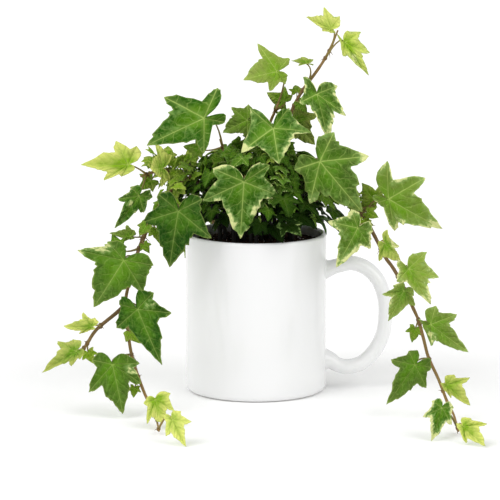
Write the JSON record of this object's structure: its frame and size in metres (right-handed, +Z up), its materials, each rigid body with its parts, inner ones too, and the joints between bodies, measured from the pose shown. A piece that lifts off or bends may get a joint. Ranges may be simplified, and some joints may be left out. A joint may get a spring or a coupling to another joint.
{
  "type": "potted ivy in a mug",
  "caption": "English ivy planted in a white ceramic mug with a handle: leafy stems crowd above the rim and trail over it to the surface.",
  "frame": {"origin": "the middle of the mug's flat foot, on the surface that it stands on", "axes": "+Z up along the mug's axis, +X toward the handle, -Y toward the viewer of the picture"},
  "size_m": [0.2439, 0.2149, 0.224],
  "materials": {
    "mug": "gloss",
    "soil": "matte",
    "foliage": "satin"
  },
  "bodies": {
    "root": {"mug": "mug", "soil": "soil", "vine_left": "foliage", "vine_right": "foliage", "vine_upper": "foliage", "shoot_left": "foliage", "shoot_front_left": "foliage", "shoot_front": "foliage", "shoot_middle": "foliage", "shoot_top": "foliage", "shoot_right": "foliage", "vine_back_left": "foliage", "vine_back_right": "foliage", "crown_shoot_1": "foliage", "crown_shoot_2": "foliage", "crown_shoot_3": "foliage", "crown_shoot_4": "foliage", "crown_shoot_5": "foliage", "crown_shoot_6": "foliage", "crown_shoot_7": "foliage", "crown_shoot_8": "foliage", "crown_shoot_9": "foliage", "crown_shoot_10": "foliage", "crown_shoot_11": "foliage", "crown_shoot_12": "foliage", "crown_shoot_13": "foliage", "crown_shoot_14": "foliage"}
  },
  "joints": []
}
